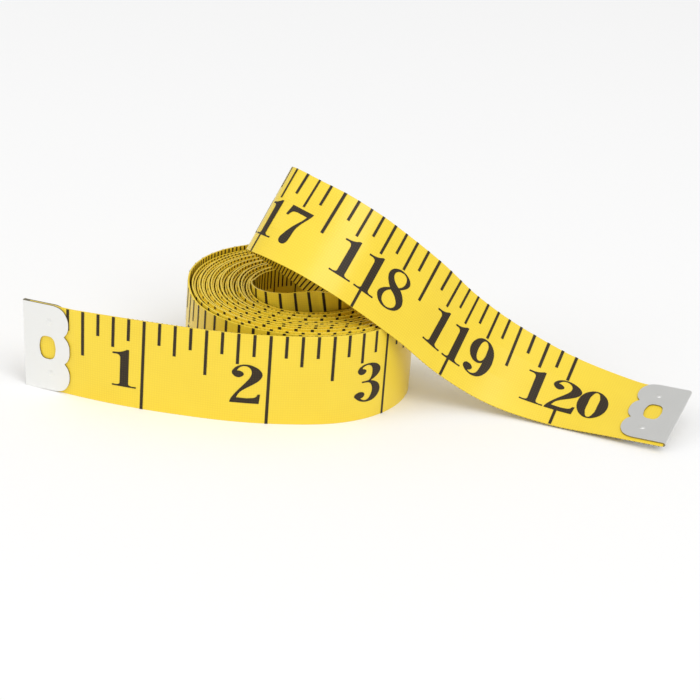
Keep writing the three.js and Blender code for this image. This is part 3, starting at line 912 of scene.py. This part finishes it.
def ink_material(colours):
    """Printing ink: a dark warm grey, duller than the coat it lies on, thinner on top of the threads."""
    material, tree, shader = new_material("Printing ink", {"Roughness": 0.5, "Specular IOR Level": 0.35})
    weave = weave_height(tree, add(tree, "ShaderNodeUVMap", uv_map="UVMap")[0])
    mixed = add(tree, links={0: weave, 6: colours.ink, 7: colours.ink_thin}, **MIX_COLOURS)[2]
    tree.links.new(mixed, shader.inputs["Base Color"])
    return material


def steel_material(colours):
    """Plated steel: a bright satin metal with faint rolling marks and uneven gloss."""
    material, tree, shader = new_material("Plated steel", {"Base Color": colours.steel, "Metallic": 1.0})
    place = add(tree, "ShaderNodeTexCoord")["Object"]
    patches = {"Vector": place, "Scale": 1 / GLOSS_PATCH, "Detail": 4.0}
    gloss = add(tree, "ShaderNodeTexNoise", patches)[0]
    rough = add(tree, "ShaderNodeMapRange", {"Value": gloss, "To Min": 0.3, "To Max": 0.45})[0]
    tree.links.new(rough, shader.inputs["Roughness"])
    fineness = (1 / MARK_LENGTH, 1 / MARK_LENGTH, 1 / MARK_WIDTH)
    marks = add(tree, "ShaderNodeMapping", {"Vector": place, "Scale": fineness})[0]
    lines = add(tree, "ShaderNodeTexNoise", {"Vector": marks, "Scale": 1.0, "Detail": 2.0})[0]
    bump = add(tree, "ShaderNodeBump", {"Height": lines, "Strength": 0.12, "Distance": BUMP_DEPTH})[0]
    tree.links.new(bump, shader.inputs["Normal"])
    return material


def cut_material(colours):
    """Painted shade on the plates' cut edges: a dull dark steel that stands in for the contact shade along
    them, beside the bright faces.
    """
    return new_material("Cut steel", {"Base Color": colours.cut_steel, "Metallic": 1.0, "Roughness": 0.6})[0]


def board_material(colours):
    """Painted board: a plain matt white that keeps the soft shadow."""
    even = {"Base Color": colours.floor, "Roughness": 0.9, "Specular IOR Level": 0.0}
    return new_material("Painted board", even)[0]


def flat_shape(name, contours, unit, steps, thickness=0.0):
    """A filled bmesh of closed outlines, or a slab of them; a point with a third value is a corner."""
    curve = bpy.data.curves.new(name, "CURVE")
    curve.dimensions = "2D"
    curve.fill_mode = "BOTH"
    curve.resolution_u = steps
    curve.extrude = thickness / 2
    for contour in contours:
        spline = curve.splines.new("BEZIER")
        spline.use_cyclic_u = True
        spline.bezier_points.add(len(contour) - 1)
        for point, place in zip(spline.bezier_points, contour):
            point.co = (place[0] * unit, place[1] * unit, 0.0)
            handle = "VECTOR" if len(place) > 2 else "AUTO"
            point.handle_left_type = handle
            point.handle_right_type = handle
    worker = put(name, curve)
    mesh = evaluated_mesh(worker)
    bpy.data.objects.remove(worker)
    bpy.data.curves.remove(curve)
    shape = bmesh.new()
    shape.from_mesh(mesh)
    bpy.data.meshes.remove(mesh)
    bmesh.ops.remove_doubles(shape, verts=shape.verts, dist=unit * MERGE_SHARE)
    return shape


def slice_up(shape, low, high, step, across):
    """Cut a flat shape into strips, so that it can bend."""
    for place in np.arange(low + step, high - step / 2, step):
        whole = shape.verts[:] + shape.edges[:] + shape.faces[:]
        bmesh.ops.bisect_plane(shape, geom=whole, plane_co=across * place, plane_no=across)


def figure_collection(side):
    """The ten figures as flat meshes of height 1, centred on their middle and sliced, and their widths."""
    steps, slices = FIGURE_FORMS[side]
    collection = bpy.data.collections.new(side + " figures")
    bpy.context.scene.collection.children.link(collection)
    outlines = dict(FIGURES)
    widest = max(x for x, *_ in FIGURES[9][0])
    # A six is a nine turned upside down
    outlines[6] = tuple(
        tuple((widest - p[0], FIGURE_HEIGHT - p[1]) + tuple(p[2:]) for p in contour) for contour in FIGURES[9]
    )
    widths = {}
    for digit in range(10):
        name = f"{side}_figure_{digit}"
        shape = flat_shape(name, outlines[digit], 1 / FIGURE_HEIGHT, steps)
        right = max(v.co.x for v in shape.verts)
        left = min(v.co.x for v in shape.verts)
        bmesh.ops.translate(shape, vec=(-(left + right) / 2, 0, 0), verts=shape.verts)
        widths[digit] = right - left
        slice_up(shape, -widths[digit] / 2, widths[digit] / 2, slices[0], Vector((1, 0, 0)))
        slice_up(shape, 0.0, 1.0, slices[1], Vector((0, 1, 0)))
        for face in shape.faces:
            if face.normal.z < 0:
                face.normal_flip()
        mesh = bpy.data.meshes.new(name)
        shape.to_mesh(mesh)
        shape.free()
        collection.objects.link(bpy.data.objects.new(name, mesh))
    return collection, widths


def number_places(name, places):
    """Loose points where figures stand, each with the figure it takes."""
    mesh = bpy.data.meshes.new(name)
    mesh.from_pydata([(x, y, 0.0) for x, y, _ in places], [], [])
    digits = mesh.attributes.new("digit", "INT", "POINT")
    digits.data.foreach_set("value", [digit for _, _, digit in places])
    return put(name, mesh)


def spread(number, middle, base, pitch):
    """Where a number's figures stand, side by side about its middle, and the figure at each place."""
    text = str(number)
    first = (len(text) - 1) / 2
    return [(middle + (place - first) * pitch, base, int(digit)) for place, digit in enumerate(text)]


def inch_places(scale, widths, numbers):
    """Where the inch numbers' figures stand, along and up the flat tape."""
    places = []
    for number in numbers:
        middle = number * INCH
        base = scale.figure_base - (scale.figure_drop if number > LAST_HIGH_NUMBER else 0.0)
        if number < 10:
            middle = middle - scale.figure_gap - widths[number] * scale.figure_height / 2
        elif number >= BROKEN_FROM:
            middle = middle + scale.figure_shift
        places += spread(number, middle, base, scale.figure_pitch)
    return places


def metric_places(tape, scale, numbers):
    """Where the centimetre numbers' figures stand, counted from the tape's far end."""
    pitch = scale.figure_pitch * scale.small_height / scale.figure_height * scale.small_narrow
    base = (tape.width - scale.small_height) / 2
    places = []
    for number in numbers:
        places += spread(number, number * 10 * MM, base, pitch)
    return places


def count_between(low, high, spacing, most):
    """The first whole number of spacings in a stretch and how many there are, from 1 to the most."""
    first = max(1, math.ceil(low / spacing - COUNT_SLACK))
    last = min(most, math.ceil(high / spacing - COUNT_SLACK) - 1)
    return first, max(0, last - first + 1)


class TAPE_OT_wind(bpy.types.Operator):
    """Wind the tape and lay out its two free ends"""

    bl_idname = "cloth_tape.wind"
    bl_label = "Wind the Tape"

    def execute(self, context):
        tape = context.scene.cloth_tape_sizes
        path = tape_path(tape)
        tree = strip_tree()
        material = cloth_material(context.scene.cloth_tape_colours)
        for name, low, high, bodies, bend, nodes in stretches(tape):
            piece = grow(
                "tape_" + name + "_cloth", tree, path,
                {
                    "From": low, "To": high, "Width": tape.width, "Thickness": tape.thickness,
                    "Edge Round": tape.edge_round, "Material": material,
                },
            )
            attach(piece, path, bodies, bend)
            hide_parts(*nodes)
        bpy.data.objects.remove(path)
        return {"FINISHED"}


def even_values(tape, scale, colours, figures, small_figures):
    """What the scales' tree is told for every stretch alike."""
    values = {
        "Width": tape.width, "Thickness": tape.thickness, "Lift": scale.lift, "Length": tape.length,
        "Material": ink_material(colours),
    }
    inch = {
        "Figures": figures, "Figure Height": scale.figure_height, "Figure Width": scale.figure_height,
        "Spacing": INCH / EIGHTHS, "Line Width": scale.line_width, "Foot": scale.foot,
        "Long": scale.head, "Middle": scale.half, "Short": scale.quarter, "Least": scale.eighth,
        "Long Every": EIGHTHS, "Middle Every": EIGHTHS // 2, "Short Every": EIGHTHS // 4,
        "Broken From": BROKEN_FROM * EIGHTHS, "Both Edges": False,
    }
    metric = {
        "Figures": small_figures, "Figure Height": scale.small_height,
        "Figure Width": scale.small_height * scale.small_narrow,
        "Spacing": MM, "Line Width": scale.fine_width, "Foot": scale.centimetre,
        "Long": scale.centimetre, "Middle": scale.half_centimetre,
        "Short": scale.millimetre, "Least": scale.millimetre,
        "Long Every": 10, "Middle Every": 5, "Short Every": 1,
        "Broken From": 0, "Both Edges": True,
    }
    for side, told in (("Inch", inch), ("Metric", metric)):
        values.update({f"{side} {name}": value for name, value in told.items()})
    return values


def stretch_values(tape, scale, widths, low, high):
    """What the scales' tree is told of one stretch: its lines on both faces, and where its figures stand."""
    values = {}
    eighths = count_between(low, high, INCH / EIGHTHS, LAST_INCH * EIGHTHS)
    values["Inch First"], values["Inch Count"] = eighths
    first, count = count_between(low, high, INCH, LAST_INCH)
    inches = inch_places(scale, widths, range(first, first + count))
    values["Inch Numbers"] = number_places("inch_numbers", inches)
    far, near = tape.length - high, tape.length - low
    millimetres = count_between(far, near, MM, LAST_CENTIMETRE * 10)
    values["Metric First"], values["Metric Count"] = millimetres
    first, count = count_between(far, near, 10 * MM, LAST_CENTIMETRE)
    centimetres = metric_places(tape, scale, range(first, first + count))
    values["Metric Numbers"] = number_places("centimetre_numbers", centimetres)
    return values


class TAPE_OT_print(bpy.types.Operator):
    """Print the inches on one face and the centimetres on the other"""

    bl_idname = "cloth_tape.print"
    bl_label = "Print the Scales"

    def execute(self, context):
        tape = context.scene.cloth_tape_sizes
        scale = context.scene.cloth_tape_scale
        path = tape_path(tape)
        small_figures = figure_collection("Metric")[0]
        figures, widths = figure_collection("Inch")
        tree = scale_tree()
        values = even_values(tape, scale, context.scene.cloth_tape_colours, figures, small_figures)
        for name, low, high, bodies, bend, _ in stretches(tape):
            values.update(stretch_values(tape, scale, widths, low, high))
            piece = grow("scale_" + name, tree, path, values)
            bpy.data.objects.remove(values["Inch Numbers"])
            bpy.data.objects.remove(values["Metric Numbers"])
            attach(piece, path, bodies, bend)
        for collection in (figures, small_figures):
            for figure in list(collection.objects):
                bpy.data.objects.remove(figure)
            bpy.data.collections.remove(collection)
        bpy.data.objects.remove(path)
        return {"FINISHED"}


def solid(name, shape):
    """Put a closed bmesh in the scene with its faces outward."""
    bmesh.ops.recalc_face_normals(shape, faces=shape.faces)
    mesh = bpy.data.meshes.new(name)
    shape.to_mesh(mesh)
    shape.free()
    return put(name, mesh)


def folded_plate(tip, width):
    """The plate bent round the tape's end, wider than the tip, before its outline is cut."""
    outer = tip.thickness / 2
    inner = outer - tip.plate
    reach = tip.reach + FOLD_MARGIN
    bend = [math.pi / 2 + math.pi * i / FOLD_STEPS for i in range(FOLD_STEPS + 1)]
    profile = [(reach, outer)] + [(outer + outer * math.cos(a), outer * math.sin(a)) for a in bend]
    profile += [(reach, -outer), (reach, -inner)]
    profile += [(outer + inner * math.cos(a), inner * math.sin(a)) for a in reversed(bend)] + [(reach, inner)]
    shape = bmesh.new()
    ring = [shape.verts.new((x, -FOLD_MARGIN, z)) for x, z in profile]
    face = shape.faces.new(ring)
    grown = bmesh.ops.extrude_face_region(shape, geom=[face])
    moved = [g for g in grown["geom"] if isinstance(g, bmesh.types.BMVert)]
    bmesh.ops.translate(shape, vec=(0, width + 2 * FOLD_MARGIN, 0), verts=moved)
    return solid("tip_fold", shape)


def cut(target, tool, operation):
    """Keep, take away or add what a tool covers."""
    modifier = target.modifiers.new("Cut", "BOOLEAN")
    modifier.operation = operation
    modifier.solver = "EXACT"
    modifier.object = tool
    mesh = evaluated_mesh(target)
    if not mesh.polygons:
        raise RuntimeError(tool.name + ": nothing is left of the tip")
    target.modifiers.remove(modifier)
    target.data = mesh
    bpy.data.objects.remove(tool)


def cut_outline(form, tape, tip):
    """Cut the folded plate to its scalloped outline, with its oval hole."""
    width = tape.width / MM
    mirrored = [(p[0], width - p[1]) + tuple(p[2:]) for p in reversed(TIP_HALF_OUTLINE)]
    outline = list(TIP_HALF_OUTLINE) + [(tip.reach / MM, width / 2)] + mirrored
    hole = [(tip.hole_place / MM + x, width / 2 + y) for x, y in TIP_HOLE]
    for contour, operation in ((outline, "INTERSECT"), (hole, "DIFFERENCE")):
        shape = flat_shape("tip_tool", [contour], MM, TIP_CURVE_STEPS, 4 * tip.thickness)
        cut(form, solid("tip_tool", shape), operation)


def narrow_back(form, tape, tip):
    """Take the back plate in a little at both edges."""
    box = (4 * tip.reach, 2 * tip.back_inset, tip.thickness)
    for height in (0.0, tape.width):
        shape = bmesh.new()
        bmesh.ops.create_cube(shape, size=1.0)
        bmesh.ops.scale(shape, vec=box, verts=shape.verts)
        place = (tip.thickness / 2 + 2 * tip.reach, height, -tip.thickness / 2)
        bmesh.ops.translate(shape, vec=place, verts=shape.verts)
        cut(form, solid("tip_side", shape), "DIFFERENCE")


def raise_pips(form, tape, tip):
    """Raise the two round pips on the front plate, each the cap of a ball."""
    ball = (tip.pip_radius**2 + tip.pip_height**2) / (2 * tip.pip_height)
    foot = (0, 0, ball - tip.pip_height - tip.plate / 2)
    for height in (tip.pip_inset, tape.width - tip.pip_inset):
        shape = bmesh.new()
        bmesh.ops.create_uvsphere(shape, u_segments=PIP_SIDES, v_segments=PIP_RINGS, radius=ball)
        whole = shape.verts[:] + shape.edges[:] + shape.faces[:]
        bmesh.ops.bisect_plane(shape, geom=whole, plane_co=foot, plane_no=(0, 0, 1), clear_inner=True)
        bmesh.ops.holes_fill(shape, edges=shape.edges)
        place = (tip.pip_place, height, tip.thickness / 2 + tip.pip_height - ball)
        bmesh.ops.translate(shape, vec=place, verts=shape.verts)
        cut(form, solid("tip_pip", shape), "UNION")


def finished_tip(form, tip, colours):
    """A mesh of the tip with its edges rounded, its faces plated and its cut edges darkened with painted
    shade.
    """
    bevel = form.modifiers.new("Bevel", "BEVEL")
    bevel.width = tip.bevel
    bevel.segments = BEVEL_STEPS
    bevel.limit_method = "ANGLE"
    bevel.angle_limit = BEVEL_ANGLE
    mesh = evaluated_mesh(form)
    bpy.data.objects.remove(form)
    mesh.materials.clear()
    mesh.materials.append(steel_material(colours))
    mesh.materials.append(cut_material(colours))
    # The cut edges take the second material: painted shade that stands in for the contact shade along the
    # plates' edges
    for face in mesh.polygons:
        side = abs(face.normal.y) > CUT_FACING or face.center.x > tip.thickness
        face.material_index = int(side and abs(face.normal.z) < CUT_FACING)
    mesh.polygons.foreach_set("use_smooth", [True] * len(mesh.polygons))
    mesh.set_sharp_from_angle(angle=TIP_SHARP_EDGE)
    return mesh


class TAPE_OT_tips(bpy.types.Operator):
    """Fold the two metal tips over the tape's ends"""

    bl_idname = "cloth_tape.tips"
    bl_label = "Fold the Tips"

    def execute(self, context):
        tape = context.scene.cloth_tape_sizes
        tip = context.scene.cloth_tape_tips
        form = folded_plate(tip, tape.width)
        for shape_it in (cut_outline, narrow_back, raise_pips):
            shape_it(form, tape, tip)
        mesh = finished_tip(form, tip, context.scene.cloth_tape_colours)
        path = tape_path(tape)
        for name, distance, body, node, inward, narrow in (
            ("start_tip_plate", 0.0, "start_outer", "start_tip", 1, 0.0),
            ("end_tip_plate", tape.length, "end_outer", "end_tip", -1, tip.end_narrow),
        ):
            edge, rise, face = station(path, distance)
            across = rise.normalized() * inward
            run = across.cross(face).normalized()
            corner = edge if inward > 0 else edge + rise
            place = Matrix((run, across, face)).transposed().to_4x4()
            place.translation = corner - run * tip.overhang
            copy = mesh.copy()
            copy.transform(place @ Matrix.Diagonal((1, 1 - narrow / tape.width, 1, 1)))
            piece = put(name, copy)
            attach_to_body(piece, body)
            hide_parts(node)
        bpy.data.objects.remove(path)
        return {"FINISHED"}


def lay_floor(colours):
    """The wide pale floor."""
    mesh = bpy.data.meshes.new("floor")
    corners = [(x * FLOOR_REACH, y * FLOOR_REACH, 0) for x, y in ((-1, -1), (1, -1), (1, 1), (-1, 1))]
    mesh.from_pydata(corners, [], [(0, 1, 2, 3)])
    mesh.materials.append(board_material(colours))
    put("floor", mesh)


def hang_lamps():
    """The soft round lamps, each turned to the part."""
    for name, (place, power, width) in LAMPS.items():
        light = bpy.data.lights.new(name, "AREA")
        light.energy = power
        light.shape = "DISK"
        light.size = width
        lamp = put(name, light)
        lamp.location = place
        lamp.rotation_euler = (-Vector(place)).to_track_quat("-Z", "Y").to_euler()


def white_surround():
    """A world that lights evenly from all round."""
    world = bpy.data.worlds.new("surround")
    world.use_nodes = True
    back = world.node_tree.nodes["Background"]
    back.inputs["Color"].default_value = (1.0, 1.0, 1.0, 1.0)
    back.inputs["Strength"].default_value = SURROUND_STRENGTH
    return world


def aimed_camera():
    """The camera at the picture's place, a little rolled."""
    sight = bpy.data.cameras.new("camera")
    sight.lens = CAMERA_LENS
    sight.sensor_width = CAMERA_SENSOR
    sight.clip_start = CAMERA_NEAR
    camera = put("camera", sight)
    outward = Vector((0.0, -math.cos(CAMERA_ELEVATION), math.sin(CAMERA_ELEVATION)))
    right = Vector((1.0, 0.0, 0.0))
    up = outward.cross(right)
    turned = (
        right * math.cos(CAMERA_ROLL) + up * math.sin(CAMERA_ROLL),
        up * math.cos(CAMERA_ROLL) - right * math.sin(CAMERA_ROLL),
        outward,
    )
    place = Matrix(turned).transposed().to_4x4()
    place.translation = CAMERA_TARGET + outward * CAMERA_DISTANCE
    camera.matrix_world = place
    return camera


class TAPE_OT_stage(bpy.types.Operator):
    """Set the floor, the soft lamps, the white surround and the camera"""

    bl_idname = "cloth_tape.stage"
    bl_label = "Set the Stage"

    def execute(self, context):
        scene = context.scene
        scene.view_settings.view_transform = "Standard"
        lay_floor(scene.cloth_tape_colours)
        hang_lamps()
        scene.world = white_surround()
        scene.camera = aimed_camera()
        return {"FINISHED"}


class TAPE_PT_panel(bpy.types.Panel):
    """Lists the tape measure's build steps"""

    bl_idname = "TAPE_PT_panel"
    bl_label = "Tape Measure"
    bl_space_type = "VIEW_3D"
    bl_region_type = "UI"
    bl_category = "Tape"

    def draw(self, context):
        for step in STEPS:
            self.layout.operator(step.bl_idname)


STEPS = (TAPE_OT_wind, TAPE_OT_print, TAPE_OT_tips, TAPE_OT_stage)
GROUPS = {
    "cloth_tape_sizes": TapeSizes,
    "cloth_tape_scale": ScaleSizes,
    "cloth_tape_tips": TipSizes,
    "cloth_tape_colours": TapeColours,
}
CLASSES = tuple(GROUPS.values()) + STEPS + (TAPE_PT_panel,)


def register():
    """Add the classes and the scene's settings."""
    for cls in CLASSES:
        bpy.utils.register_class(cls)
    for name, group in GROUPS.items():
        setattr(bpy.types.Scene, name, bpy.props.PointerProperty(type=group))


def unregister():
    """Take the classes and the settings away again."""
    for name in GROUPS:
        delattr(bpy.types.Scene, name)
    for cls in reversed(CLASSES):
        bpy.utils.unregister_class(cls)


def main():
    """Build every piece and the stage."""
    register()
    bpy.ops.cloth_tape.wind()
    bpy.ops.cloth_tape.print()
    bpy.ops.cloth_tape.tips()
    bpy.ops.cloth_tape.stage()


if __name__ == "__main__":
    main()
